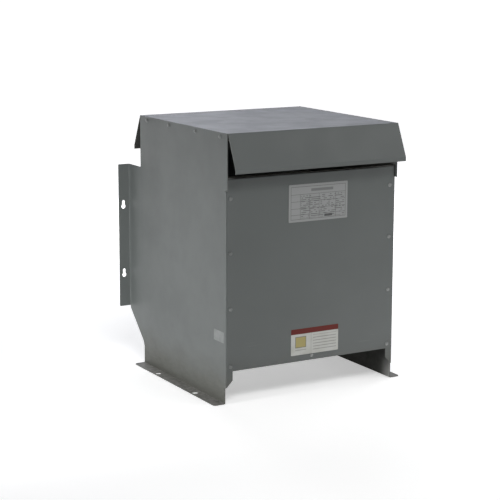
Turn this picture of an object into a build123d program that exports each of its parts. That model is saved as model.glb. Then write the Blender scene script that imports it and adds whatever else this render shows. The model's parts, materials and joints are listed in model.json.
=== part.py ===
from build123d import *
import os

os.makedirs("parts", exist_ok=True)

# ---------------------------------------------------------------- dimensions, mm
HEIGHT = 686.0            # floor to roof
HALF_WIDTH = 253.1        # to the outer face of a side panel
T_SIDE = 2.0              # side panel sheet
T_PANEL = 1.5             # front, rear and roof sheet
BEND_R = 1.0              # inside bend radius of every folded sheet

EAR_Y = 242.1             # front and rear edge of a side panel's ears, and both folds of the roof
EAR_Z = 544.6             # where an ear ends and the flange begins
FLANGE_Y = 233.9          # front face of the side panel's front flange
FLANGE_INNER_X = 232.7    # inner edge of that flange
FLANGE_LOW_OUT = 43.0     # lower end of the flange at the bend
FLANGE_LOW_IN = 61.0      # lower end of the flange at its inner edge
LEG_Y = 228.9             # front and rear edge of a leg, below flange and wing, and of its foot

FOOT_OUT = 283.7          # outer edge of a foot
FOOT_CORNER_R = 7.0
FOOT_HOLE_X = 272.5
FOOT_HOLE_Y = 105.8
FOOT_HOLE_R = 8.5

WALL_Y = 317.7            # plane of the wall flanges
WALL_OUT = 284.9          # outer edge of a wall flange
WING_TOP = 545.3
WING_LOW = 146.0          # lower end of the wall flange
WING_RELIEF_Z = 140.0     # upper end of the wing's slanted edge, relieved under the fold
WING_SLANT_Y = 234.6      # lower end of the wing's slanted edge
WING_SLANT_Z = 62.2
KEY_X = 270.8
KEY_Z_LOW = 234.7         # centre of the round part of the lower keyhole
KEY_Z_HIGH = 427.4
KEY_R = 6.3
KEY_SLOT_R = 4.1
KEY_SLOT_RISE = 13.5      # from the round part to the end of the slot

PANEL_LOW = 85.0          # lower edge of front and rear panel
PANEL_TOP = 573.3
REAR_PANEL_TOP = 604.0    # higher than the front panel, so no light shows through from vent to vent
PANEL_NOTCH_Z = 542.7     # above this the front panel fits between the ears
PANEL_HALF = 250.2
PANEL_NECK_HALF = 247.6
REAR_PANEL_HALF = 249.0
PANEL_RETURN = 16.0       # top edge of a panel, turned inward

ROOF_HALF = 250.7         # roof, between the side panels
VISOR_HALF = 252.9        # visors, over the full width; the front one ends flush with the roof on the left
ROOF_CLEARANCE = 0.6      # from the ears to the wider visors
VISOR_Y = 280.2           # outer face of a visor's lip
VISOR_KNEE_Z = 601.2
VISOR_LOW_Z = 590.6
ROOF_FLANGE_DROP = 22.0
ROOF_FLANGE_HALF_Y = 232.0

ANGLE_LEG = 22.0          # rear corner angles

RAIL_T = 2.5
RAIL_LOW = 87.0
RAIL_TOP = 127.0
RAIL_DEPTH = 45.0
RAIL_HALF = 248.0

SUPPORT_X = 130.0
SUPPORT_W = 50.0
SUPPORT_H = 30.0
SUPPORT_T = 3.0

PAD_SIZE = 44.0
PAD_H = 15.0
PAD_Y = 68.0

LIMB_W = 70.0
LIMB_PITCH = 145.0
YOKE_H = 70.0
WINDOW_H = 250.0
STACK = 85.0

CLAMP_T = 4.0
CLAMP_DEPTH = 50.0
CLAMP_HALF = 190.0

BLOCK_H = 7.5
BLOCK_W = 26.0
BLOCK_LEN = 36.0

INNER_IN = (75.0, 90.0)       # inner winding, inside width and depth
INNER_OUT = (100.0, 120.0)
OUTER_IN = (110.0, 154.0)     # outer winding, inside width and depth
OUTER_OUT = (140.0, 184.0)

NAMEPLATE = (175.8, 95.9)
NAMEPLATE_AT = (15.0, 497.5)
NAMEPLATE_T = 0.8
LABEL = (143.3, 69.0)
LABEL_AT = (9.1, 136.3)
LABEL_T = 0.3
SIDE_LABEL = (51.3, 28.0)
SIDE_LABEL_AT = (-199.4, 171.2)

# ---------------------------------------------------------------- derived heights
Z_SUPPORT = RAIL_LOW + RAIL_T
Z_PAD = Z_SUPPORT + SUPPORT_H
Z_CORE = Z_PAD + PAD_H
Z_WINDOW = Z_CORE + YOKE_H
Z_WINDOW_TOP = Z_WINDOW + WINDOW_H
Z_CORE_TOP = Z_WINDOW_TOP + YOKE_H
Z_COIL = Z_WINDOW + BLOCK_H
Z_COIL_TOP = Z_WINDOW_TOP - BLOCK_H
FRONT_FACE = FLANGE_Y + T_PANEL       # outer face of the front panel
WEB_IN = HALF_WIDTH - T_SIDE          # inner face of a side panel


def offset_left(points, amount):
    """The same path moved to its left by amount, corners mitred."""
    pts = [Vector(p[0], p[1]) for p in points]
    moved = []
    for i, p in enumerate(pts):
        normals = []
        if i > 0:
            d = (p - pts[i - 1]).normalized()
            normals.append(Vector(-d.Y, d.X))
        if i < len(pts) - 1:
            d = (pts[i + 1] - p).normalized()
            normals.append(Vector(-d.Y, d.X))
        if len(normals) == 1:
            shift = normals[0] * amount
        else:
            mid = (normals[0] + normals[1]).normalized()
            shift = mid * (amount / mid.dot(normals[0]))
        moved.append(((p + shift).X, (p + shift).Y))
    return moved


def bent_sheet(plane, points, thickness, radius=BEND_R):
    """Section of a folded sheet: its face follows points, its thickness lies to the left of them."""
    other = offset_left(points, thickness)
    face_r, other_r = [], []
    for a, b, c in zip(points, points[1:], points[2:]):
        turn = (b[0] - a[0]) * (c[1] - b[1]) - (b[1] - a[1]) * (c[0] - b[0])
        face_r.append(radius + thickness if turn > 0 else radius)
        other_r.append(radius if turn > 0 else radius + thickness)
    with BuildSketch(plane) as section:
        with BuildLine():
            FilletPolyline(*points, radius=face_r)
            Line(points[-1], other[-1])
            FilletPolyline(*other[::-1], radius=other_r[::-1])
            Line(other[0], points[0])
        make_face()
    return section.sketch


# ---------------------------------------------------------------- side panels
BEND = BEND_R + T_SIDE
with BuildPart() as left_side_panel:
    with BuildSketch(Plane.YZ.offset(-HALF_WIDTH)):
        with BuildLine():
            Polyline(
                (-LEG_Y, BEND),
                (-LEG_Y, FLANGE_LOW_OUT - 2),
                (-FLANGE_Y + BEND, FLANGE_LOW_OUT - 2),
                (-FLANGE_Y + BEND, EAR_Z),
                (-EAR_Y, EAR_Z),
                (-EAR_Y, HEIGHT),
                (EAR_Y, HEIGHT),
                (EAR_Y, WING_TOP),
                (WALL_Y - BEND, WING_TOP),
                (WALL_Y - BEND, WING_RELIEF_Z),
                (WING_SLANT_Y, WING_SLANT_Z),
                (LEG_Y, WING_SLANT_Z - 14),
                (LEG_Y, BEND),
                close=True,
            )
        make_face()
    extrude(amount=T_SIDE)
    # front flange, folded inward
    extrude(
        bent_sheet(
            Plane.XY.offset(FLANGE_LOW_OUT),
            [
                (-HALF_WIDTH, -FLANGE_Y + 30),
                (-HALF_WIDTH, -FLANGE_Y),
                (-FLANGE_INNER_X, -FLANGE_Y),
            ],
            T_SIDE,
        ),
        amount=EAR_Z - 2 - FLANGE_LOW_OUT,
    )
    with BuildSketch(Plane.XZ.offset(FLANGE_Y + 1)):
        with BuildLine():
            Polyline(
                (-HALF_WIDTH + BEND, FLANGE_LOW_OUT),
                (-FLANGE_INNER_X + 1, FLANGE_LOW_OUT),
                (-FLANGE_INNER_X + 1, FLANGE_LOW_IN + 0.9),
                close=True,
            )
        make_face()
    extrude(amount=-T_SIDE - 2, mode=Mode.SUBTRACT)
    # foot, folded outward
    extrude(
        bent_sheet(
            Plane.XZ.offset(LEG_Y),
            [
                (-FOOT_OUT, 0),
                (-WEB_IN, 0),
                (-WEB_IN, 30),
            ],
            T_SIDE,
        ),
        amount=-2 * LEG_Y,
    )
    # wall flange, folded outward
    extrude(
        bent_sheet(
            Plane.XY.offset(WING_LOW),
            [
                (-WEB_IN, WALL_Y - 30),
                (-WEB_IN, WALL_Y),
                (-WALL_OUT, WALL_Y),
            ],
            T_SIDE,
        ),
        amount=WING_TOP - WING_LOW,
    )
    # rounded outer corners of foot and wall flange
    fillet(
        left_side_panel.edges()
        .filter_by(Axis.Z)
        .filter_by_position(Axis.X, -FOOT_OUT - 0.1, -FOOT_OUT + 0.1),
        radius=FOOT_CORNER_R,
    )
    fillet(
        left_side_panel.edges()
        .filter_by(Axis.Y)
        .filter_by_position(Axis.X, -WALL_OUT - 0.1, -WALL_OUT + 0.1),
        radius=3.0,
    )
    # corner where the wing's slanted edge meets the wall flange and the lower edge
    fillet(
        left_side_panel.edges()
        .filter_by(Axis.X)
        .filter_by_position(Axis.Y, WING_SLANT_Y - 0.1, WING_SLANT_Y + 0.1)
        .filter_by_position(Axis.Z, WING_SLANT_Z - 0.1, WING_SLANT_Z + 0.1),
        radius=9.0,
    )
    # anchor holes through the foot
    with BuildSketch(Plane.XY):
        with Locations((-FOOT_HOLE_X, -FOOT_HOLE_Y), (-FOOT_HOLE_X, FOOT_HOLE_Y)):
            Circle(FOOT_HOLE_R)
    extrude(amount=T_SIDE, mode=Mode.SUBTRACT)
    # keyholes through the wall flange
    with BuildSketch(Plane.XZ.offset(-WALL_Y)):
        with Locations((-KEY_X, KEY_Z_LOW), (-KEY_X, KEY_Z_HIGH)):
            Circle(KEY_R)
        with Locations(
            (-KEY_X, KEY_Z_LOW + KEY_SLOT_RISE / 2), (-KEY_X, KEY_Z_HIGH + KEY_SLOT_RISE / 2)
        ):
            SlotCenterToCenter(KEY_SLOT_RISE, 2 * KEY_SLOT_R, rotation=90)
    extrude(amount=T_SIDE, mode=Mode.SUBTRACT)
left_side_panel.part.label = "left_side_panel"
export_step(left_side_panel.part, "parts/left_side_panel.step")

with BuildPart() as right_side_panel:
    mirror(left_side_panel.part, about=Plane.YZ)
right_side_panel.part.label = "right_side_panel"
export_step(right_side_panel.part, "parts/right_side_panel.step")

# ---------------------------------------------------------------- front and rear panels
with BuildPart() as front_panel:
    extrude(
        bent_sheet(
            Plane.YZ.offset(-PANEL_HALF),
            [
                (-FLANGE_Y, PANEL_LOW),
                (-FLANGE_Y, PANEL_TOP - T_PANEL),
                (-FLANGE_Y + PANEL_RETURN, PANEL_TOP - T_PANEL),
            ],
            T_PANEL,
            radius=1.0,
        ),
        amount=2 * PANEL_HALF,
    )
    with BuildSketch(Plane.XZ.offset(FRONT_FACE + 1)):
        for side in (-1, 1):
            with Locations((side * (PANEL_NECK_HALF + 5), (PANEL_NOTCH_Z + PANEL_TOP) / 2 + 1)):
                Rectangle(10, PANEL_TOP - PANEL_NOTCH_Z + 2)
    extrude(amount=-PANEL_RETURN - 5, mode=Mode.SUBTRACT)
front_panel.part.label = "front_panel"
export_step(front_panel.part, "parts/front_panel.step")

with BuildPart() as rear_panel:
    extrude(
        bent_sheet(
            Plane.YZ.offset(-REAR_PANEL_HALF),
            [
                (FLANGE_Y - PANEL_RETURN, REAR_PANEL_TOP - T_PANEL),
                (FLANGE_Y, REAR_PANEL_TOP - T_PANEL),
                (FLANGE_Y, PANEL_LOW),
            ],
            T_PANEL,
            radius=1.0,
        ),
        amount=2 * REAR_PANEL_HALF,
    )
rear_panel.part.label = "rear_panel"
export_step(rear_panel.part, "parts/rear_panel.step")

# ---------------------------------------------------------------- roof with both visors
with BuildPart() as roof_cover:
    extrude(
        bent_sheet(
            Plane.YZ.offset(-VISOR_HALF),
            [
                (VISOR_Y, VISOR_LOW_Z),
                (VISOR_Y, VISOR_KNEE_Z),
                (EAR_Y, HEIGHT),
                (-EAR_Y, HEIGHT),
                (-VISOR_Y, VISOR_KNEE_Z),
                (-VISOR_Y, VISOR_LOW_Z),
            ],
            T_PANEL,
        ),
        amount=2 * VISOR_HALF,
    )
    # between the visors the roof fits inside the side panels
    with BuildSketch(Plane.XY.offset(HEIGHT + 1)):
        for side in (-1, 1):
            with Locations((side * (ROOF_HALF + 5), 0)):
                Rectangle(10, 2 * (EAR_Y + ROOF_CLEARANCE))
    extrude(amount=-12, mode=Mode.SUBTRACT)
    # the front visor's left end, in line with the roof's edge
    with BuildSketch(Plane.XY.offset(HEIGHT + 1)):
        with Locations((-ROOF_HALF - 5, -EAR_Y / 2 - VISOR_Y / 2 - 5)):
            Rectangle(10, VISOR_Y - EAR_Y + 10)
    extrude(amount=-HEIGHT / 5, mode=Mode.SUBTRACT)
    # side flanges, folded down inside the side panels
    for side in (-1, 1):
        with BuildSketch(Plane.XY.offset(HEIGHT - T_PANEL / 2)):
            with Locations((side * (ROOF_HALF - T_PANEL / 2), 0)):
                Rectangle(T_PANEL, 2 * ROOF_FLANGE_HALF_Y)
        extrude(amount=-ROOF_FLANGE_DROP)
roof_cover.part.label = "roof_cover"
export_step(roof_cover.part, "parts/roof_cover.step")

# ---------------------------------------------------------------- rear corner angles
with BuildPart() as left_rear_corner_angle:
    extrude(
        bent_sheet(
            Plane.XY.offset(FLANGE_LOW_IN),
            [
                (-WEB_IN + ANGLE_LEG, FLANGE_Y),
                (-WEB_IN, FLANGE_Y),
                (-WEB_IN, FLANGE_Y - ANGLE_LEG),
            ],
            T_PANEL,
        ),
        amount=EAR_Z - 2 - FLANGE_LOW_IN,
    )
left_rear_corner_angle.part.label = "left_rear_corner_angle"
export_step(left_rear_corner_angle.part, "parts/left_rear_corner_angle.step")

with BuildPart() as right_rear_corner_angle:
    mirror(left_rear_corner_angle.part, about=Plane.YZ)
right_rear_corner_angle.part.label = "right_rear_corner_angle"
export_step(right_rear_corner_angle.part, "parts/right_rear_corner_angle.step")

# ---------------------------------------------------------------- base rails
RAIL_FACE = FLANGE_Y - T_SIDE
with BuildPart() as front_base_rail:
    extrude(
        bent_sheet(
            Plane.YZ.offset(-RAIL_HALF),
            [
                (-RAIL_FACE, RAIL_TOP),
                (-RAIL_FACE, RAIL_LOW),
                (-RAIL_FACE + RAIL_DEPTH, RAIL_LOW),
            ],
            RAIL_T,
        ),
        amount=2 * RAIL_HALF,
    )
front_base_rail.part.label = "front_base_rail"
export_step(front_base_rail.part, "parts/front_base_rail.step")

with BuildPart() as rear_base_rail:
    mirror(front_base_rail.part, about=Plane.XZ)
rear_base_rail.part.label = "rear_base_rail"
export_step(rear_base_rail.part, "parts/rear_base_rail.step")

# ---------------------------------------------------------------- core supports, front to back
SUPPORT_HALF_LEN = RAIL_FACE - RAIL_T - BEND_R
with BuildPart() as left_core_support:
    extrude(
        bent_sheet(
            Plane.XZ.offset(SUPPORT_HALF_LEN),
            [
                (-SUPPORT_X + SUPPORT_W / 2, Z_SUPPORT),
                (-SUPPORT_X + SUPPORT_W / 2, Z_PAD),
                (-SUPPORT_X - SUPPORT_W / 2, Z_PAD),
                (-SUPPORT_X - SUPPORT_W / 2, Z_SUPPORT),
            ],
            SUPPORT_T,
        ),
        amount=-2 * SUPPORT_HALF_LEN,
    )
left_core_support.part.label = "left_core_support"
export_step(left_core_support.part, "parts/left_core_support.step")

with BuildPart() as right_core_support:
    mirror(left_core_support.part, about=Plane.YZ)
right_core_support.part.label = "right_core_support"
export_step(right_core_support.part, "parts/right_core_support.step")

# ---------------------------------------------------------------- isolation pads
with BuildPart() as front_left_isolation_pad:
    with BuildSketch(Plane.XY.offset(Z_PAD)):
        with Locations((-SUPPORT_X, -PAD_Y)):
            RectangleRounded(PAD_SIZE, PAD_SIZE, 3)
    extrude(amount=PAD_H)
front_left_isolation_pad.part.label = "front_left_isolation_pad"
export_step(front_left_isolation_pad.part, "parts/front_left_isolation_pad.step")

with BuildPart() as front_right_isolation_pad:
    mirror(front_left_isolation_pad.part, about=Plane.YZ)
front_right_isolation_pad.part.label = "front_right_isolation_pad"
export_step(front_right_isolation_pad.part, "parts/front_right_isolation_pad.step")

with BuildPart() as rear_left_isolation_pad:
    mirror(front_left_isolation_pad.part, about=Plane.XZ)
rear_left_isolation_pad.part.label = "rear_left_isolation_pad"
export_step(rear_left_isolation_pad.part, "parts/rear_left_isolation_pad.step")

with BuildPart() as rear_right_isolation_pad:
    mirror(front_right_isolation_pad.part, about=Plane.XZ)
rear_right_isolation_pad.part.label = "rear_right_isolation_pad"
export_step(rear_right_isolation_pad.part, "parts/rear_right_isolation_pad.step")

# ---------------------------------------------------------------- core and its clamps
with BuildPart() as laminated_core:
    with BuildSketch(Plane.XZ.offset(STACK / 2)):
        with Locations((0, (Z_CORE + Z_CORE_TOP) / 2)):
            Rectangle(2 * LIMB_PITCH + LIMB_W, Z_CORE_TOP - Z_CORE)
        with Locations(
            (-LIMB_PITCH / 2, (Z_WINDOW + Z_WINDOW_TOP) / 2),
            (LIMB_PITCH / 2, (Z_WINDOW + Z_WINDOW_TOP) / 2),
        ):
            Rectangle(LIMB_PITCH - LIMB_W, WINDOW_H, mode=Mode.SUBTRACT)
    extrude(amount=-STACK)
laminated_core.part.label = "laminated_core"
export_step(laminated_core.part, "parts/laminated_core.step")

with BuildPart() as lower_front_clamp:
    extrude(
        bent_sheet(
            Plane.YZ.offset(-CLAMP_HALF),
            [
                (-STACK / 2 - CLAMP_DEPTH, Z_CORE),
                (-STACK / 2, Z_CORE),
                (-STACK / 2, Z_WINDOW),
                (-STACK / 2 - CLAMP_DEPTH, Z_WINDOW),
            ],
            CLAMP_T,
            radius=3.0,
        ),
        amount=2 * CLAMP_HALF,
    )
lower_front_clamp.part.label = "lower_front_clamp"
export_step(lower_front_clamp.part, "parts/lower_front_clamp.step")

with BuildPart() as lower_rear_clamp:
    mirror(lower_front_clamp.part, about=Plane.XZ)
lower_rear_clamp.part.label = "lower_rear_clamp"
export_step(lower_rear_clamp.part, "parts/lower_rear_clamp.step")

with BuildPart() as upper_front_clamp:
    extrude(
        bent_sheet(
            Plane.YZ.offset(-CLAMP_HALF),
            [
                (-STACK / 2 - CLAMP_DEPTH, Z_WINDOW_TOP),
                (-STACK / 2, Z_WINDOW_TOP),
                (-STACK / 2, Z_CORE_TOP),
                (-STACK / 2 - CLAMP_DEPTH, Z_CORE_TOP),
            ],
            CLAMP_T,
            radius=3.0,
        ),
        amount=2 * CLAMP_HALF,
    )
upper_front_clamp.part.label = "upper_front_clamp"
export_step(upper_front_clamp.part, "parts/upper_front_clamp.step")

with BuildPart() as upper_rear_clamp:
    mirror(upper_front_clamp.part, about=Plane.XZ)
upper_rear_clamp.part.label = "upper_rear_clamp"
export_step(upper_rear_clamp.part, "parts/upper_rear_clamp.step")

# ---------------------------------------------------------------- windings
with BuildPart() as center_inner_winding:
    with BuildSketch(Plane.XY.offset(Z_COIL)):
        RectangleRounded(INNER_OUT[0], INNER_OUT[1], 15)
        RectangleRounded(INNER_IN[0], INNER_IN[1], 4, mode=Mode.SUBTRACT)
    extrude(amount=Z_COIL_TOP - Z_COIL)
center_inner_winding.part.label = "center_inner_winding"
export_step(center_inner_winding.part, "parts/center_inner_winding.step")

with BuildPart() as center_outer_winding:
    with BuildSketch(Plane.XY.offset(Z_COIL)):
        RectangleRounded(OUTER_OUT[0], OUTER_OUT[1], 38)
        RectangleRounded(OUTER_IN[0], OUTER_IN[1], 23, mode=Mode.SUBTRACT)
    extrude(amount=Z_COIL_TOP - Z_COIL)
center_outer_winding.part.label = "center_outer_winding"
export_step(center_outer_winding.part, "parts/center_outer_winding.step")

with BuildPart() as left_inner_winding:
    with Locations((-LIMB_PITCH, 0, 0)):
        add(center_inner_winding.part)
left_inner_winding.part.label = "left_inner_winding"
export_step(left_inner_winding.part, "parts/left_inner_winding.step")

with BuildPart() as left_outer_winding:
    with Locations((-LIMB_PITCH, 0, 0)):
        add(center_outer_winding.part)
left_outer_winding.part.label = "left_outer_winding"
export_step(left_outer_winding.part, "parts/left_outer_winding.step")

with BuildPart() as right_inner_winding:
    with Locations((LIMB_PITCH, 0, 0)):
        add(center_inner_winding.part)
right_inner_winding.part.label = "right_inner_winding"
export_step(right_inner_winding.part, "parts/right_inner_winding.step")

with BuildPart() as right_outer_winding:
    with Locations((LIMB_PITCH, 0, 0)):
        add(center_outer_winding.part)
right_outer_winding.part.label = "right_outer_winding"
export_step(right_outer_winding.part, "parts/right_outer_winding.step")

# sticks that hold the air duct open between inner and outer winding
DUCT = (OUTER_IN[1] - INNER_OUT[1]) / 2
DUCT_Y = (OUTER_IN[1] + INNER_OUT[1]) / 4
with BuildPart() as duct_spacers:
    with BuildSketch(Plane.XY.offset(Z_COIL)):
        for limb in (-LIMB_PITCH, 0, LIMB_PITCH):
            for side in (-1, 1):
                with Locations(
                    (limb - 22, side * DUCT_Y), (limb, side * DUCT_Y), (limb + 22, side * DUCT_Y)
                ):
                    Rectangle(9, DUCT)
    extrude(amount=Z_COIL_TOP - Z_COIL)
duct_spacers.part.label = "duct_spacers"
export_step(duct_spacers.part, "parts/duct_spacers.step")

# blocks that carry and hold down the windings
BLOCK_Y = STACK / 2 + 8 + BLOCK_LEN / 2
with BuildPart() as lower_coil_blocks:
    with BuildSketch(Plane.XY.offset(Z_WINDOW)):
        for limb in (-LIMB_PITCH, 0, LIMB_PITCH):
            with Locations((limb, -BLOCK_Y), (limb, BLOCK_Y)):
                Rectangle(BLOCK_W, BLOCK_LEN)
    extrude(amount=BLOCK_H)
lower_coil_blocks.part.label = "lower_coil_blocks"
export_step(lower_coil_blocks.part, "parts/lower_coil_blocks.step")

with BuildPart() as upper_coil_blocks:
    with BuildSketch(Plane.XY.offset(Z_COIL_TOP)):
        for limb in (-LIMB_PITCH, 0, LIMB_PITCH):
            with Locations((limb, -BLOCK_Y), (limb, BLOCK_Y)):
                Rectangle(BLOCK_W, BLOCK_LEN)
    extrude(amount=BLOCK_H)
upper_coil_blocks.part.label = "upper_coil_blocks"
export_step(upper_coil_blocks.part, "parts/upper_coil_blocks.step")

# ---------------------------------------------------------------- nameplate and labels
with BuildPart() as nameplate:
    with BuildSketch(Plane.XZ.offset(FRONT_FACE)):
        with Locations(NAMEPLATE_AT):
            RectangleRounded(NAMEPLATE[0], NAMEPLATE[1], 2)
    extrude(amount=NAMEPLATE_T)
nameplate.part.label = "nameplate"
export_step(nameplate.part, "parts/nameplate.step")

with BuildPart() as front_label:
    with BuildSketch(Plane.XZ.offset(FRONT_FACE)):
        with Locations(LABEL_AT):
            RectangleRounded(LABEL[0], LABEL[1], 2)
    extrude(amount=LABEL_T)
front_label.part.label = "front_label"
export_step(front_label.part, "parts/front_label.step")

with BuildPart() as side_label:
    with BuildSketch(Plane.YZ.offset(-HALF_WIDTH)):
        with Locations(SIDE_LABEL_AT):
            RectangleRounded(SIDE_LABEL[0], SIDE_LABEL[1], 2)
    extrude(amount=-LABEL_T)
side_label.part.label = "side_label"
export_step(side_label.part, "parts/side_label.step")
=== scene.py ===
import json
import math

import bmesh
import bpy
from mathutils import Matrix, Vector


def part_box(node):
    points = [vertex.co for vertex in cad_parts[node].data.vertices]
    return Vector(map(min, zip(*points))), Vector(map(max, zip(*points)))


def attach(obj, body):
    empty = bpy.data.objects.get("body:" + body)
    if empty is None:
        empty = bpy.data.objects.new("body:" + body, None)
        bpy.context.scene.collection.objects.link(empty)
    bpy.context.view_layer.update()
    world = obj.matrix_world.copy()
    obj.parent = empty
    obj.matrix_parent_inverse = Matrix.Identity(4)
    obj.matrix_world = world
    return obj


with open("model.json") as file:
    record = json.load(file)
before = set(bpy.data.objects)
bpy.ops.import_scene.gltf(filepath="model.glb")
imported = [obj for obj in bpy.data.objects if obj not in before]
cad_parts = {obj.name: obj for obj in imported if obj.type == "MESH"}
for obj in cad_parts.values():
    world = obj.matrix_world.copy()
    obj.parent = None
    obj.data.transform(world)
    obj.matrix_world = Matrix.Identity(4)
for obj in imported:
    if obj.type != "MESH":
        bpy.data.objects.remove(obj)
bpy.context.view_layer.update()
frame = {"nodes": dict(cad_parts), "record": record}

nodes = frame["nodes"]
scene = bpy.context.scene
scene.view_settings.view_transform = "Standard"
scene.view_settings.look = "None"

# ------------------------------------------------------------------ camera
CAM_POS = Vector((-2.0541, -3.4852, 1.1283))
CAM_YAW, CAM_PITCH, CAM_ROLL = (math.radians(a) for a in (29.911, 11.124, 0.173))
fwd = Vector((math.sin(CAM_YAW) * math.cos(CAM_PITCH), math.cos(CAM_YAW) * math.cos(CAM_PITCH), -math.sin(CAM_PITCH)))
right0 = Vector((math.cos(CAM_YAW), -math.sin(CAM_YAW), 0.0))
up0 = right0.cross(fwd)
right = math.cos(CAM_ROLL) * right0 + math.sin(CAM_ROLL) * up0
up = -math.sin(CAM_ROLL) * right0 + math.cos(CAM_ROLL) * up0
cam_data = bpy.data.cameras.new("camera")
cam_data.sensor_fit = "HORIZONTAL"
cam_data.sensor_width = 36.0
cam_data.lens = 110.55
cam_data.clip_end = 200.0
cam = bpy.data.objects.new("camera", cam_data)
scene.collection.objects.link(cam)
cam.matrix_world = Matrix(
    (
        (right.x, up.x, -fwd.x, CAM_POS.x),
        (right.y, up.y, -fwd.y, CAM_POS.y),
        (right.z, up.z, -fwd.z, CAM_POS.z),
        (0, 0, 0, 1),
    )
)
scene.camera = cam


# ------------------------------------------------------------------ node helpers
class Look:
    """A material under construction: a principled shader and small helpers for its nodes."""

    def __init__(self, name, **sockets):
        self.m = bpy.data.materials.new(name)
        self.m.use_nodes = True
        self.t = self.m.node_tree
        self.t.nodes.clear()
        self.out = self.t.nodes.new("ShaderNodeOutputMaterial")
        self.b = self.t.nodes.new("ShaderNodeBsdfPrincipled")
        self.t.links.new(self.b.outputs[0], self.out.inputs[0])
        for k, v in sockets.items():
            self.b.inputs[k.replace("_", " ")].default_value = v
        self._pos = None

    def put(self, socket, value):
        if isinstance(value, bpy.types.NodeSocket):
            self.t.links.new(value, socket)
        elif isinstance(value, (tuple, list)) and len(value) == 3 and socket.type == "RGBA":
            socket.default_value = (*value, 1.0)
        else:
            socket.default_value = value

    def to(self, name, value):
        self.put(self.b.inputs[name], value)

    def pos(self):
        """Where the point is on the object, in metres."""
        if self._pos is None:
            self._pos = self.t.nodes.new("ShaderNodeTexCoord").outputs["Object"]
        return self._pos

    def xyz(self, vec=None):
        n = self.t.nodes.new("ShaderNodeSeparateXYZ")
        self.put(n.inputs[0], vec if vec is not None else self.pos())
        return n.outputs[0], n.outputs[1], n.outputs[2]

    def normal_z(self):
        n = self.t.nodes.new("ShaderNodeNewGeometry")
        return self.xyz(n.outputs["True Normal"])[2]

    def math(self, op, a, b=0.0, c=0.0, clamp=False):
        n = self.t.nodes.new("ShaderNodeMath")
        n.operation = op
        n.use_clamp = clamp
        self.put(n.inputs[0], a)
        self.put(n.inputs[1], b)
        self.put(n.inputs[2], c)
        return n.outputs[0]

    def scaled(self, sx, sy, sz, vec=None):
        n = self.t.nodes.new("ShaderNodeVectorMath")
        n.operation = "MULTIPLY"
        self.put(n.inputs[0], vec if vec is not None else self.pos())
        n.inputs[1].default_value = (sx, sy, sz)
        return n.outputs[0]

    def noise(self, scale, detail=3.0, rough=0.5, vec=None, distortion=0.0, out="Fac"):
        n = self.t.nodes.new("ShaderNodeTexNoise")
        n.inputs["Scale"].default_value = scale
        n.inputs["Detail"].default_value = detail
        n.inputs["Roughness"].default_value = rough
        n.inputs["Distortion"].default_value = distortion
        self.put(n.inputs["Vector"], vec if vec is not None else self.pos())
        return n.outputs[out]

    def voronoi(self, scale, vec=None, feature="F1", out="Color", randomness=1.0):
        n = self.t.nodes.new("ShaderNodeTexVoronoi")
        n.feature = feature
        n.inputs["Scale"].default_value = scale
        n.inputs["Randomness"].default_value = randomness
        self.put(n.inputs["Vector"], vec if vec is not None else self.pos())
        return n.outputs[out]

    def band(self, value, lo, hi, to_lo=0.0, to_hi=1.0, smooth=True):
        """Maps value from lo..hi to to_lo..to_hi, clamped."""
        n = self.t.nodes.new("ShaderNodeMapRange")
        n.interpolation_type = "SMOOTHSTEP" if smooth else "LINEAR"
        self.put(n.inputs["Value"], value)
        self.put(n.inputs["From Min"], lo)
        self.put(n.inputs["From Max"], hi)
        n.inputs["To Min"].default_value = to_lo
        n.inputs["To Max"].default_value = to_hi
        return n.outputs[0]

    def mix(self, fac, a, b):
        n = self.t.nodes.new("ShaderNodeMix")
        n.data_type = "RGBA"
        self.put(n.inputs[0], fac)
        self.put(n.inputs[6], a)
        self.put(n.inputs[7], b)
        return n.outputs[2]

    def bump(self, height, strength, distance, normal=None):
        n = self.t.nodes.new("ShaderNodeBump")
        n.inputs["Strength"].default_value = strength
        n.inputs["Distance"].default_value = distance
        self.put(n.inputs["Height"], height)
        if normal is not None:
            self.put(n.inputs["Normal"], normal)
        return n.outputs[0]

    def mul(self, *values):
        out = values[0]
        for v in values[1:]:
            out = self.math("MULTIPLY", out, v)
        return out

    def add(self, *values):
        out = values[0]
        for v in values[1:]:
            out = self.math("ADD", out, v)
        return out

    def between(self, value, lo, hi, soft):
        """1 inside lo..hi with soft edges, else 0."""
        a = self.band(value, lo - soft, lo + soft)
        b = self.band(value, hi - soft, hi + soft, 1.0, 0.0)
        return self.math("MULTIPLY", a, b)


# ------------------------------------------------------------------ enclosure paint
PAINT = (0.0900, 0.0985, 0.0960)
PAINT_DARK = (0.0800, 0.0882, 0.0858)
SOIL = (0.0780, 0.0765, 0.0590)
SOIL_DARK = (0.0560, 0.0545, 0.0410)
INSIDE_PAINTED_SHADE = (0.0150, 0.0148, 0.0132)
INSIDE_HIGH_PAINTED_SHADE = (0.0450, 0.0446, 0.0410)
INSIDE_TOP_PAINTED_LIGHT = (0.2700, 0.2690, 0.2560)
LEDGE_PAINTED_LIGHT = (0.4600, 0.4550, 0.4300)


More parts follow.
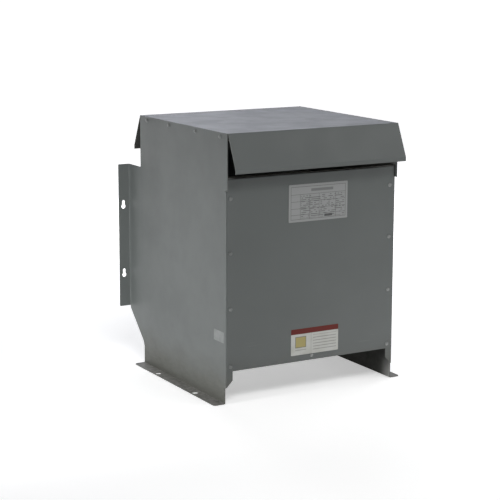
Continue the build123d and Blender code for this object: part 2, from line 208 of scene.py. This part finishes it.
def enclosure_paint(name):
    k = Look(name, Roughness=0.45, IOR=1.5)
    x, y, z = k.xyz()
    ax, ay = k.math("ABSOLUTE", x), k.math("ABSOLUTE", y)
    # cloudy tone of a sprayed and baked coat
    cloud = k.noise(2.6, 3.0, 0.55)
    tone = k.mix(k.band(cloud, 0.32, 0.68), PAINT_DARK, PAINT)
    # fine grain of the powder
    grain = k.noise(900.0, 2.0, 0.6)
    tone = k.mix(k.band(grain, 0.3, 0.75, 0.0, 0.10), tone, (0.125, 0.135, 0.132))
    # painted light: the coat is painted paler towards the wall and paler again on the wall flange, standing for light
    # that falls there
    tone = k.mix(k.band(y, 0.17, 0.26, 0.0, 0.42), tone, (0.126, 0.138, 0.1345))
    tone = k.mix(k.band(y, 0.300, 0.312, 0.0, 0.38), tone, (0.146, 0.159, 0.155))
    # painted shade: high up at the left the panels are painted darker, standing for shade there
    visor = k.math("GREATER_THAN", ay, 0.2424)
    high = k.mul(k.band(x, -0.22, 0.06, 1.0, 0.0), k.band(z, 0.26, 0.42), k.math("SUBTRACT", 1.0, visor))
    tone = k.mix(k.mul(high, 0.17), tone, (0.055, 0.062, 0.060))
    # painted light: the front visor is painted paler towards its left end
    painted_light_visor_end = k.mul(k.band(x, -0.25, 0.02, 1.0, 0.0), k.band(z, 0.58, 0.60), k.math("LESS_THAN", y, -0.2424))
    tone = k.mix(k.mul(painted_light_visor_end, 0.22), tone, (0.126, 0.138, 0.1345))
    # soil splashed up from the floor, thicker at the foot and in ragged streaks
    ragged = k.noise(9.0, 4.0, 0.6, k.scaled(1.0, 1.0, 2.2))
    height = k.add(z, k.mul(k.math("SUBTRACT", ragged, 0.5), 0.10))
    soil = k.band(height, 0.004, 0.125, 0.62, 0.0)
    mottle = k.noise(1.0, 5.0, 0.65, k.scaled(38.0, 38.0, 120.0))
    tone = k.mix(soil, tone, k.mix(k.band(mottle, 0.34, 0.66), SOIL_DARK, SOIL))
    # dust that settles on what faces up, near the floor only
    facing_up = k.normal_z()
    lying = k.mul(k.band(facing_up, 0.6, 0.95), k.band(z, 0.006, 0.03, 1.0, 0.0))
    dusty = k.mul(lying, k.band(k.noise(75.0, 5.0, 0.65), 0.32, 0.68, 0.30, 0.95))
    tone = k.mix(dusty, tone, (0.250, 0.246, 0.232))
    # painted light: the inner faces of the legs are painted pale beside their front edges, where light falls in
    leg_edge_painted_light = k.mul(
        k.band(y, -0.203, -0.186, 1.0, 0.0),
        k.math("GREATER_THAN", y, -0.2305),
        k.band(z, 0.070, 0.090, 1.0, 0.0),
        k.math("LESS_THAN", ax, 0.2515),
    )
    tone = k.mix(k.mul(leg_edge_painted_light, 0.62), tone, (0.250, 0.252, 0.244))
    # painted shade in the corner of the front panel under the left ear, where the ear and visor shade it
    painted_shade_corner = k.mul(k.band(x, -0.238, -0.200, 1.0, 0.0), k.band(z, 0.528, 0.556), k.math("LESS_THAN", y, -0.2334))
    tone = k.mix(k.mul(painted_shade_corner, k.math("GREATER_THAN", x, -0.2503), k.math("GREATER_THAN", y, -0.2362), 0.46), tone, (0.030, 0.032, 0.031))
    # scuffs: short level scrapes, low on the panels
    scrape = k.noise(1.0, 3.0, 0.6, k.scaled(7.0, 7.0, 210.0))
    where = k.noise(5.0, 2.0, 0.5)
    scuff = k.mul(k.band(scrape, 0.63, 0.72), k.band(where, 0.52, 0.66), k.band(z, 0.10, 0.24, 1.0, 0.12))
    tone = k.mix(k.mul(scuff, 0.28), tone, (0.19, 0.20, 0.195))
    # painted shade and painted light inside the enclosure and under the visors: a near-black tone stands for the shade
    # in there, thinner close to the front and rear panels low down, and a pale tone high up stands for light falling
    # in
    box = k.mul(
        k.math("LESS_THAN", ax, 0.2515),
        k.math("LESS_THAN", ay, 0.2334),
        k.math("LESS_THAN", z, 0.6850),
    )
    slope = k.add(k.mul(k.math("SUBTRACT", ay, 0.2421), 0.9122), k.mul(k.math("SUBTRACT", z, 0.686), 0.4098))
    hood = k.mul(
        k.math("LESS_THAN", slope, -0.0007),
        k.math("LESS_THAN", ay, 0.2795),
        k.math("GREATER_THAN", ay, 0.2423),
        k.math("GREATER_THAN", z, 0.580),
    )
    within = k.math("MAXIMUM", box, hood)
    near = k.add(k.math("SUBTRACT", 0.2339, ay), k.mul(z, 0.45))
    shade_depth = k.band(near, 0.004, 0.064, 0.12, 1.0)
    inside_painted_mask = k.mul(within, shade_depth, k.band(k.noise(17.0, 4.0, 0.6), 0.25, 0.75, 0.78, 0.96))
    inside_shade_and_light_tone = k.mix(k.band(z, 0.42, 0.56), INSIDE_PAINTED_SHADE, INSIDE_HIGH_PAINTED_SHADE)
    inside_shade_and_light_tone = k.mix(k.mul(k.band(z, 0.49, 0.57), k.band(y, 0.2334, 0.2424, 1.0, 0.0)), inside_shade_and_light_tone, INSIDE_TOP_PAINTED_LIGHT)
    # painted light: upward faces high inside, right of the left end, are painted pale where light falls on them
    ledge_light_mask = k.mul(k.band(facing_up, 0.6, 0.95), k.band(z, 0.50, 0.56), k.band(x, -0.225, -0.185))
    inside_shade_and_light_tone = k.mix(ledge_light_mask, inside_shade_and_light_tone, LEDGE_PAINTED_LIGHT)
    tone = k.mix(inside_painted_mask, tone, inside_shade_and_light_tone)
    # painted light: low on the legs' inner faces near the front they are painted pale, where light falls in
    leg_foot_painted_light = k.mul(
        k.band(y, -0.215, -0.160, 0.15, 0.0),
        k.math("GREATER_THAN", y, -0.2305),
        k.band(z, 0.040, 0.066, 1.0, 0.0),
        k.math("LESS_THAN", ax, 0.2515),
    )
    tone = k.mix(leg_foot_painted_light, tone, (0.250, 0.252, 0.244))
    k.to("Base Color", tone)
    rough = k.add(
        k.band(k.noise(14.0, 3.0, 0.6), 0.3, 0.7, 0.41, 0.49),
        k.mul(soil, 0.22),
        k.mul(dusty, 0.2),
        k.mul(inside_painted_mask, 0.35),
    )
    k.to("Roughness", rough)
    k.to("Specular IOR Level", k.band(inside_painted_mask, 0.0, 1.0, 0.5, 0.06, smooth=False))
    # orange peel, with a slow wave of the sheet under it
    peel = k.bump(k.noise(420.0, 2.0, 0.5), 0.10, 0.0004)
    wave = k.bump(k.noise(7.0, 1.0, 0.4), 0.05, 0.004, peel)
    k.to("Normal", wave)
    return k.m


paint = enclosure_paint("enclosure_paint")

# ------------------------------------------------------------------ galvanised sheet
k = Look("galvanised_steel", Metallic=1.0, Roughness=0.4)
spangle = k.voronoi(95.0)
s = k.xyz(spangle)[0]
# dust on the steel, heavier on faces that look up; it also dulls and darkens the steel as painted shade for the parts
# seen inside the enclosure
dust_and_shade = k.mul(k.band(k.normal_z(), -0.2, 0.7, 0.55, 0.92), k.band(k.noise(26.0, 4.0, 0.6), 0.3, 0.7, 0.75, 1.0))
zinc_tone = k.mix(s, (0.40, 0.42, 0.43), (0.60, 0.62, 0.63))
k.to("Base Color", k.mix(dust_and_shade, zinc_tone, (0.380, 0.372, 0.345)))
k.to("Metallic", k.band(dust_and_shade, 0.0, 1.0, 1.0, 0.1, smooth=False))
k.to("Roughness", k.add(k.band(s, 0.0, 1.0, 0.32, 0.52, smooth=False), k.mul(dust_and_shade, 0.35)))
k.to("Normal", k.bump(k.noise(300.0), 0.06, 0.0004))
galvanised = k.m

# ------------------------------------------------------------------ core laminations
k = Look("core_laminations", Metallic=0.35, Roughness=0.5)
x, y, z = k.xyz()
wobble = k.noise(1.0, 2.0, 0.5, k.scaled(3.0, 900.0, 3.0))
sheet = k.math("FRACT", k.math("MULTIPLY", y, 1400.0))
gap = k.math("ABSOLUTE", k.math("SUBTRACT", sheet, 0.5))
edge = k.band(gap, 0.34, 0.5)
tone = k.mix(k.band(wobble, 0.3, 0.7), (0.040, 0.040, 0.044), (0.105, 0.104, 0.105))
tone = k.mix(k.mul(edge, 0.8), tone, (0.012, 0.012, 0.013))
rust = k.band(k.noise(22.0, 5.0, 0.65), 0.56, 0.72)
k.to("Base Color", k.mix(k.mul(rust, 0.35), tone, (0.10, 0.055, 0.030)))
k.to("Roughness", k.band(wobble, 0.2, 0.8, 0.34, 0.62))
k.to("Normal", k.bump(k.add(k.mul(edge, -1.0), wobble), 0.35, 0.0004))
core_look = k.m

# ------------------------------------------------------------------ varnished winding wrap
k = Look("winding_wrap", Roughness=0.32, Coat_Weight=0.35, Coat_Roughness=0.2)
x, y, z = k.xyz()
turn = k.math("FRACT", k.math("MULTIPLY", z, 1.0 / 0.0182))
lap = k.band(k.math("ABSOLUTE", k.math("SUBTRACT", turn, 0.5)), 0.44, 0.5)
runs = k.noise(1.0, 4.0, 0.6, k.scaled(55.0, 55.0, 5.0))
blot = k.noise(16.0, 4.0, 0.6)
tone = k.mix(k.band(runs, 0.3, 0.72), (0.085, 0.036, 0.013), (0.23, 0.115, 0.042))
tone = k.mix(k.band(blot, 0.52, 0.75, 0.0, 0.6), tone, (0.055, 0.024, 0.010))
tone = k.mix(k.mul(lap, 0.6), tone, (0.030, 0.014, 0.007))
k.to("Base Color", tone)
k.to("Roughness", k.band(runs, 0.2, 0.8, 0.24, 0.46))
k.to("Normal", k.bump(k.add(k.mul(lap, -0.7), k.mul(k.noise(260.0), 0.3)), 0.4, 0.0006))
wrap = k.m

# ------------------------------------------------------------------ insulation board
k = Look("insulation_board", Roughness=0.62)
fibre = k.noise(1.0, 4.0, 0.7, k.scaled(60.0, 60.0, 900.0))
k.to("Base Color", k.mix(fibre, (0.34, 0.22, 0.095), (0.50, 0.36, 0.18)))
k.to("Normal", k.bump(fibre, 0.2, 0.0004))
board = k.m

# ------------------------------------------------------------------ rubber pads
k = Look("pad_rubber", Roughness=0.75)
k.to("Base Color", k.mix(k.noise(120.0), (0.012, 0.012, 0.012), (0.028, 0.027, 0.026)))
k.to("Normal", k.bump(k.noise(700.0), 0.25, 0.0004))
rubber = k.m

# ------------------------------------------------------------------ zinc-plated screws
k = Look("zinc_screw", Metallic=0.7, Roughness=0.42)
bright = k.mix(k.noise(420.0, 3.0), (0.205, 0.212, 0.210), (0.305, 0.312, 0.308))
# the ones down the left edge of the front are made darker
x, y, z = k.xyz()
left_edge_darker = k.mul(k.band(x, -0.20, -0.15, 1.0, 0.0), k.math("LESS_THAN", y, -0.225))
k.to("Base Color", k.mix(k.mul(left_edge_darker, 0.6), bright, (0.125, 0.131, 0.129)))
k.to("Roughness", k.band(k.noise(500.0), 0.3, 0.7, 0.36, 0.52))
zinc = k.m

# ------------------------------------------------------------------ nameplate: satin metal with plain ruled boxes
lo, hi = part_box("nameplate")
k = Look("nameplate_metal", Metallic=0.35, Roughness=0.42)
x, y, z = k.xyz()
u = k.math("SUBTRACT", x, lo.x)
v = k.math("SUBTRACT", hi.z, z)
W, H = hi.x - lo.x, hi.z - lo.z
brush = k.noise(1.0, 3.0, 0.6, k.scaled(9.0, 9.0, 1600.0))
metal = k.mix(brush, (0.212, 0.218, 0.216), (0.272, 0.278, 0.275))


def rules(k, coord, places, half):
    out = None
    for p in places:
        line = k.math("COMPARE", coord, p, half)
        out = line if out is None else k.math("MAXIMUM", out, line)
    return out


inside_u = k.between(u, 0.0065, W - 0.0065, 0.0001)
inside_v = k.between(v, 0.0065, H - 0.0065, 0.0001)
frame_u = rules(k, u, (0.0065, W - 0.0065), 0.0005)
frame_v = rules(k, v, (0.0065, H - 0.0065), 0.0005)
ink = k.math("MAXIMUM", k.mul(frame_u, inside_v), k.mul(frame_v, inside_u))
body_v = k.between(v, 0.026, H - 0.0065, 0.0001)
cols = rules(k, u, (0.034, 0.062, 0.090, 0.140), 0.00045)
ink = k.math("MAXIMUM", ink, k.mul(cols, body_v))
rows = rules(k, v, (0.026, 0.044, 0.062, 0.078), 0.00045)
ink = k.math("MAXIMUM", ink, k.mul(rows, inside_u))
# plain filled-in lines inside the boxes
line_v = k.math("FRACT", k.math("MULTIPLY", v, 1.0 / 0.0047))
in_line = k.between(line_v, 0.32, 0.68, 0.06)
cell = k.t.nodes.new("ShaderNodeTexWhiteNoise")
cell.noise_dimensions = "2D"
vec = k.t.nodes.new("ShaderNodeCombineXYZ")
k.put(vec.inputs[0], k.math("FLOOR", k.math("MULTIPLY", u, 1.0 / 0.0047)))
k.put(vec.inputs[1], k.math("FLOOR", k.math("MULTIPLY", v, 1.0 / 0.0047)))
k.put(cell.inputs["Vector"], vec.outputs[0])
filled = k.math("GREATER_THAN", cell.outputs["Value"], 0.42)
pale = k.mul(in_line, filled, k.between(u, 0.036, W - 0.010, 0.0003), k.between(v, 0.028, H - 0.009, 0.0003))
head = k.mul(k.between(v, 0.0125, 0.0195, 0.0004), k.between(u, 0.066, 0.132, 0.0004))
block = k.mul(k.between(v, 0.0805, 0.0868, 0.0003), k.between(u, 0.106, 0.130, 0.0003))
tone = k.mix(k.mul(pale, 0.80), metal, (0.060, 0.062, 0.062))
tone = k.mix(k.mul(head, 0.55), tone, (0.060, 0.062, 0.062))
tone = k.mix(k.mul(block, 0.85), tone, (0.035, 0.036, 0.036))
tone = k.mix(k.mul(ink, 0.75), tone, (0.045, 0.046, 0.046))
k.to("Base Color", tone)
k.to("Roughness", k.band(brush, 0.2, 0.8, 0.36, 0.5))
k.to("Normal", k.bump(k.add(brush, k.mul(ink, -0.8)), 0.12, 0.0002))
plate_look = k.m

# ------------------------------------------------------------------ front label: plain sticker, coloured band, blank rules
lo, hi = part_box("front_label")
k = Look("label_vinyl", Roughness=0.45)
k.b.inputs["Specular IOR Level"].default_value = 0.25
x, y, z = k.xyz()
u = k.math("SUBTRACT", x, lo.x)
v = k.math("SUBTRACT", hi.z, z)
W, H = hi.x - lo.x, hi.z - lo.z
stain = k.noise(30.0, 4.0, 0.6)
white = k.mix(k.band(stain, 0.35, 0.75), (0.442, 0.447, 0.425), (0.380, 0.380, 0.348))
red = k.mix(stain, (0.118, 0.0112, 0.0069), (0.084, 0.0080, 0.0050))
tone = k.mix(k.band(v, 0.0136, 0.0142), red, white)
line_v = k.math("FRACT", k.math("MULTIPLY", v, 1.0 / 0.0078))
text = k.mul(k.between(line_v, 0.36, 0.64, 0.05), k.between(v, 0.0195, H - 0.006, 0.0004), k.between(u, 0.066, W - 0.006, 0.0004))
tone = k.mix(k.mul(text, 0.58), tone, (0.13, 0.13, 0.125))
# a plain block of colour, ruled round, in the left half
edge = k.mul(k.between(v, 0.0205, 0.0500, 0.0003), k.between(u, 0.0125, 0.0455, 0.0003))
block = k.mul(k.between(v, 0.0222, 0.0483, 0.0003), k.between(u, 0.0142, 0.0438, 0.0003))
tone = k.mix(k.mul(edge, 0.80), tone, (0.075, 0.068, 0.045))
tone = k.mix(k.mul(block, 0.95), tone, (0.330, 0.283, 0.112))
foot_line = k.mul(k.between(v, 0.0545, 0.0572, 0.0003), k.between(u, 0.0125, 0.0455, 0.0003))
tone = k.mix(k.mul(foot_line, 0.45), tone, (0.13, 0.13, 0.125))
div = k.mul(k.math("COMPARE", u, 0.0605, 0.0006), k.band(v, 0.0142, 0.0148))
tone = k.mix(k.mul(div, 0.6), tone, (0.20, 0.20, 0.20))
k.to("Base Color", tone)
k.to("Normal", k.bump(k.noise(60.0, 2.0), 0.08, 0.0006))
label_look = k.m

# ------------------------------------------------------------------ side label
k = Look("side_label_vinyl", Roughness=0.36)
fade = k.noise(45.0, 4.0, 0.6)
k.to("Base Color", k.mix(k.band(fade, 0.3, 0.7), (0.130, 0.140, 0.137), (0.168, 0.178, 0.174)))
k.to("Normal", k.bump(k.noise(70.0, 2.0), 0.08, 0.0006))
side_label_look = k.m

LOOKS = {
    "enclosure_paint": paint,
    "galvanised_steel": galvanised,
    "core_steel": core_look,
    "winding_wrap": wrap,
    "insulation_board": board,
    "pad_rubber": rubber,
    "nameplate_metal": plate_look,
    "label_vinyl": label_look,
    "side_label_vinyl": side_label_look,
}
for sub in frame["record"]["subparts"]:
    o = nodes[sub["node"]]
    look = LOOKS[sub["material_slot"]]
    if len(o.material_slots) == 0:
        o.data.materials.append(look)
    for slot in o.material_slots:
        slot.material = look


# ------------------------------------------------------------------ screws
def ring(bm, radius, h, count, frame_m, twist=0.0):
    return [
        bm.verts.new(frame_m @ Vector((radius * math.cos(twist + 2 * math.pi * i / count), radius * math.sin(twist + 2 * math.pi * i / count), h)))
        for i in range(count)
    ]


def skin(bm, rings, closed_bottom=True, closed_top=True):
    for a, b in zip(rings, rings[1:]):
        n = len(a)
        for i in range(n):
            bm.faces.new((a[i], a[(i + 1) % n], b[(i + 1) % n], b[i]))
    if closed_bottom:
        bm.faces.new(list(reversed(rings[0])))
    if closed_top:
        bm.faces.new(rings[-1])


def aim(at, out, spin):
    """Frame with its Z along out, at the place where the screw seats."""
    z_axis = Vector(out).normalized()
    x_axis = z_axis.orthogonal().normalized()
    y_axis = z_axis.cross(x_axis)
    m = Matrix((x_axis, y_axis, z_axis)).transposed().to_4x4()
    m.translation = Vector(at)
    return m @ Matrix.Rotation(spin, 4, "Z")


def hex_washer_screw(bm, at, out, spin, flange=0.0052, across=0.0072, head=0.0034):
    m = aim(at, out, spin)
    seg = 28
    skin(
        bm,
        [
            ring(bm, flange * 0.97, 0.0, seg, m),
            ring(bm, flange, 0.00025, seg, m),
            ring(bm, flange, 0.00075, seg, m),
            ring(bm, flange * 0.95, 0.00105, seg, m),
            ring(bm, flange * 0.80, 0.00135, seg, m),
        ],
    )
    r = across / math.sqrt(3.0)
    skin(
        bm,
        [
            ring(bm, r, 0.0010, 6, m),
            ring(bm, r, head - 0.0005, 6, m),
            ring(bm, r * 0.88, head, 6, m),
            ring(bm, r * 0.60, head, 6, m),
            ring(bm, r * 0.42, head - 0.0007, 6, m),
        ],
    )


def hex_bolt(bm, at, out, spin, washer=0.0125, across=0.0165, head=0.0075):
    m = aim(at, out, spin)
    seg = 32
    skin(
        bm,
        [
            ring(bm, washer * 0.985, 0.0, seg, m),
            ring(bm, washer, 0.0003, seg, m),
            ring(bm, washer, 0.0019, seg, m),
            ring(bm, washer * 0.97, 0.0022, seg, m),
        ],
    )
    r = across / math.sqrt(3.0)
    skin(
        bm,
        [
            ring(bm, r, 0.0022, 6, m),
            ring(bm, r, 0.0022 + head - 0.0012, 6, m),
            ring(bm, r * 0.86, 0.0022 + head, 6, m),
        ],
    )


def piece(name, build, material):
    bm = bmesh.new()
    build(bm)
    bmesh.ops.recalc_face_normals(bm, faces=bm.faces[:])
    me = bpy.data.meshes.new(name)
    bm.to_mesh(me)
    bm.free()
    me.materials.append(material)
    o = bpy.data.objects.new(name, me)
    scene.collection.objects.link(o)
    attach(o, "root")
    return o


SPINS = (0.2, 0.75, 0.41, 1.02, 0.55, 0.9, 0.08, 0.66, 0.33)
FRONT_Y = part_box("front_panel")[0].y
REAR_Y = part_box("rear_panel")[1].y
SIDE_X = 0.2531
PANEL_Z = (0.0976, 0.2452, 0.3873, 0.5240)


def front_screws(bm):
    places = [(sx, z) for sx in (-0.2400, 0.2352) for z in PANEL_Z] + [(-0.0006, 0.0972)]
    for i, (px, pz) in enumerate(places):
        hex_washer_screw(bm, (px, FRONT_Y, pz), (0, -1, 0), SPINS[i % 9])


def rear_screws(bm):
    places = [(sx, z) for sx in (-0.2400, 0.2352) for z in PANEL_Z] + [(-0.0006, 0.0972)]
    for i, (px, pz) in enumerate(places):
        hex_washer_screw(bm, (px, REAR_Y, pz), (0, 1, 0), SPINS[(i + 4) % 9])


def left_screws(bm):
    for i, py in enumerate((-0.2060, -0.0775, 0.0710, 0.1993)):
        hex_washer_screw(bm, (-SIDE_X, py, 0.6753), (-1, 0, 0), SPINS[(i + 2) % 9])


def right_screws(bm):
    for i, py in enumerate((-0.2060, -0.0775, 0.0710, 0.1993)):
        hex_washer_screw(bm, (SIDE_X, py, 0.6753), (1, 0, 0), SPINS[(i + 6) % 9])


piece("front_panel_screws", front_screws, zinc)
piece("rear_panel_screws", rear_screws, zinc)
piece("left_roof_screws", left_screws, zinc)
piece("right_roof_screws", right_screws, zinc)


def clamp_bolts(bm):
    lf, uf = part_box("lower_front_clamp"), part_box("upper_front_clamp")
    for clamp in (lf, uf):
        mid = (clamp[0].z + clamp[1].z) / 2
        for i, px in enumerate((-0.16, -0.0725, 0.0725, 0.16)):
            hex_bolt(bm, (px, -0.0465, mid), (0, -1, 0), SPINS[i])
            hex_bolt(bm, (px, 0.0465, mid), (0, 1, 0), SPINS[i + 3])


piece("clamp_bolts", clamp_bolts, zinc)

# ------------------------------------------------------------------ stage
bm = bmesh.new()
ring = bmesh.ops.create_circle(bm, cap_ends=True, segments=96, radius=45.0)["verts"]
# the far rim turns up, so the floor runs out of sight
high = [bm.verts.new((v.co.x, v.co.y, 2.0)) for v in ring]
for i in range(96):
    j = (i + 1) % 96
    bm.faces.new((ring[i], high[i], high[j], ring[j]))
me = bpy.data.meshes.new("floor")
bm.to_mesh(me)
bm.free()
k = Look("floor_white", Roughness=0.9)
k.to("Base Color", k.mix(k.noise(3.0, 3.0, 0.5), (0.925, 0.925, 0.925), (0.945, 0.945, 0.945)))
# the sweep glows as painted light: more behind the object, and in a glowing pool at its right
x, y, z = k.xyz()
away = k.add(k.mul(x, 0.501), k.mul(y, 0.865))
floor_glow_pool = k.t.nodes.new("ShaderNodeVectorMath")
floor_glow_pool.operation = "DISTANCE"
k.put(floor_glow_pool.inputs[0], k.pos())
floor_glow_pool.inputs[1].default_value = (0.55, -0.70, 0.0)
k.b.inputs["Emission Color"].default_value = (1.0, 1.0, 1.0, 1.0)
k.to("Emission Strength", k.add(k.band(away, 0.2, 2.4, 0.40, 1.0), k.band(floor_glow_pool.outputs["Value"], 0.2, 0.6, 0.35, 0.0)))
me.materials.append(k.m)
floor = bpy.data.objects.new("floor", me)
floor.location = (0, 0, -0.0005)
scene.collection.objects.link(floor)

world = bpy.data.worlds.new("studio")
scene.world = world
world.use_nodes = True
wt = world.node_tree
bg = wt.nodes["Background"]
bg.inputs["Color"].default_value = (0.985, 0.995, 1.0, 1.0)
bg.inputs["Strength"].default_value = 0.08


def softbox(name, at, look_at, size, power, colour=(1, 1, 1)):
    d = bpy.data.lights.new(name, "AREA")
    d.shape = "RECTANGLE"
    d.size, d.size_y = size
    d.energy = power
    d.color = colour
    o = bpy.data.objects.new(name, d)
    o.location = at
    o.rotation_euler = (Vector(look_at) - Vector(at)).to_track_quat("-Z", "Y").to_euler()
    scene.collection.objects.link(o)
    return o


def softspot(name, at, look_at, angle, power):
    data = bpy.data.lights.new(name, "SPOT")
    data.spot_size = math.radians(angle)
    data.spot_blend = 1.0
    data.shadow_soft_size = 0.15
    data.energy = power
    lamp = bpy.data.objects.new(name, data)
    lamp.location = at
    lamp.rotation_euler = (Vector(look_at) - Vector(at)).to_track_quat("-Z", "Y").to_euler()
    scene.collection.objects.link(lamp)


softbox("front_top", (-1.1, -2.55, 2.9), (0.0, 0.0, 0.4), (1.6, 1.0), 55.0)
softbox("right_pool", (1.2, -1.3, 1.5), (1.2, -1.3001, 0.0), (1.2, 1.2), 11.0)
softbox("back_low", (0.4, 3.6, 1.5), (0.0, 0.0, 0.6), (3.0, 1.2), 5.5, (0.90, 0.92, 1.0))
softbox("back_high", (1.2, 3.2, 2.4), (0.0, 0.0, 0.6), (3.0, 1.2), 43.0, (0.88, 0.90, 1.0))
softbox("right_fill", (2.6, 0.75, 0.42), (0.25, 0.1, 0.35), (1.1, 0.5), 30.0)
softbox("rear_fill", (0.0, 2.9, 0.43), (0.0, 0.25, 0.38), (0.46, 0.44), 32.0)
softspot("left_side", (-2.0, -0.27, 0.38), (-0.253, -0.02, 0.15), 52.0, 69.0)
softspot("left_low", (-1.6, -0.25, 0.16), (-0.253, -0.02, 0.10), 54.0, 17.2)
